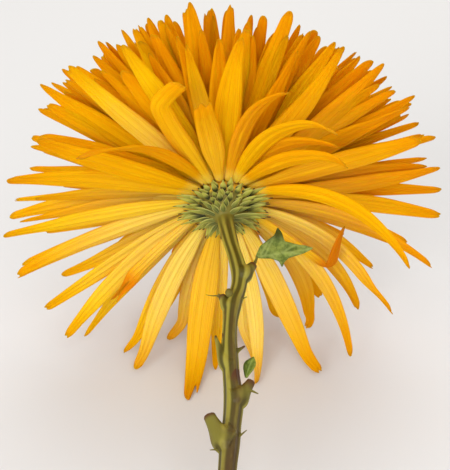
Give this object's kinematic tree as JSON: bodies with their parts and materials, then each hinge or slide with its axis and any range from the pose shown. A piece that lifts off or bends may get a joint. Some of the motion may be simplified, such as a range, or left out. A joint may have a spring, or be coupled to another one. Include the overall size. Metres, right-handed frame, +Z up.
{
  "type": "cut chrysanthemum",
  "caption": "Cut chrysanthemum lying on its side: a wide head of long golden florets over a green involucre, on a knobbly stem with one small leaf.",
  "frame": {"origin": "middle of the lying flower's footprint, on the surface it rests on", "axes": "+Z up, +Y from the cut end of the stem towards the flower's face, +X to the right as the flower is seen from behind its stem"},
  "size_m": [0.1232, 0.189, 0.1127],
  "materials": {
    "petal": "satin, thin and slightly translucent, with fine ribs along it",
    "heart_petal": "satin, thin and slightly translucent",
    "bract": "matte with pale thin margins",
    "stem": "satin with fine ridges and brown streaks",
    "leaf": "matte with pale veins"
  },
  "bodies": {
    "root": {"outer_floret_01": "petal", "outer_floret_02": "petal", "outer_floret_03": "petal", "outer_floret_04": "petal", "outer_floret_05": "petal", "outer_floret_06": "petal", "outer_floret_07": "petal", "outer_floret_08": "petal", "outer_floret_09": "petal", "outer_floret_10": "petal", "outer_floret_11": "petal", "outer_floret_12": "petal", "outer_floret_13": "petal", "outer_floret_14": "petal", "outer_floret_15": "petal", "outer_floret_16": "petal", "outer_floret_17": "petal", "outer_floret_18": "petal", "middle_floret_01": "petal", "middle_floret_02": "petal", "middle_floret_03": "petal", "middle_floret_04": "petal", "middle_floret_05": "petal", "middle_floret_06": "petal", "middle_floret_07": "petal", "middle_floret_08": "petal", "middle_floret_09": "petal", "middle_floret_10": "petal", "middle_floret_11": "petal", "middle_floret_12": "petal", "middle_floret_13": "petal", "middle_floret_14": "petal", "middle_floret_15": "petal", "middle_floret_16": "petal", "middle_floret_17": "petal", "middle_floret_18": "petal", "middle_floret_19": "petal", "inner_floret_01": "petal", "inner_floret_02": "petal", "inner_floret_03": "petal", "inner_floret_04": "petal", "inner_floret_05": "petal", "inner_floret_06": "petal", "inner_floret_07": "petal", "inner_floret_08": "petal", "inner_floret_09": "petal", "inner_floret_10": "petal", "inner_floret_11": "petal", "inner_floret_12": "petal", "heart_whorl_1": "heart_petal", "heart_whorl_2": "heart_petal", "heart_whorl_3": "heart_petal", "heart_whorl_4": "heart_petal", "heart_whorl_5": "heart_petal", "inner_bracts": "bract", "middle_bracts": "bract", "outer_bracts": "bract", "stem": "stem", "leaf": "leaf", "side_leaf": "leaf"}
  },
  "joints": []
}
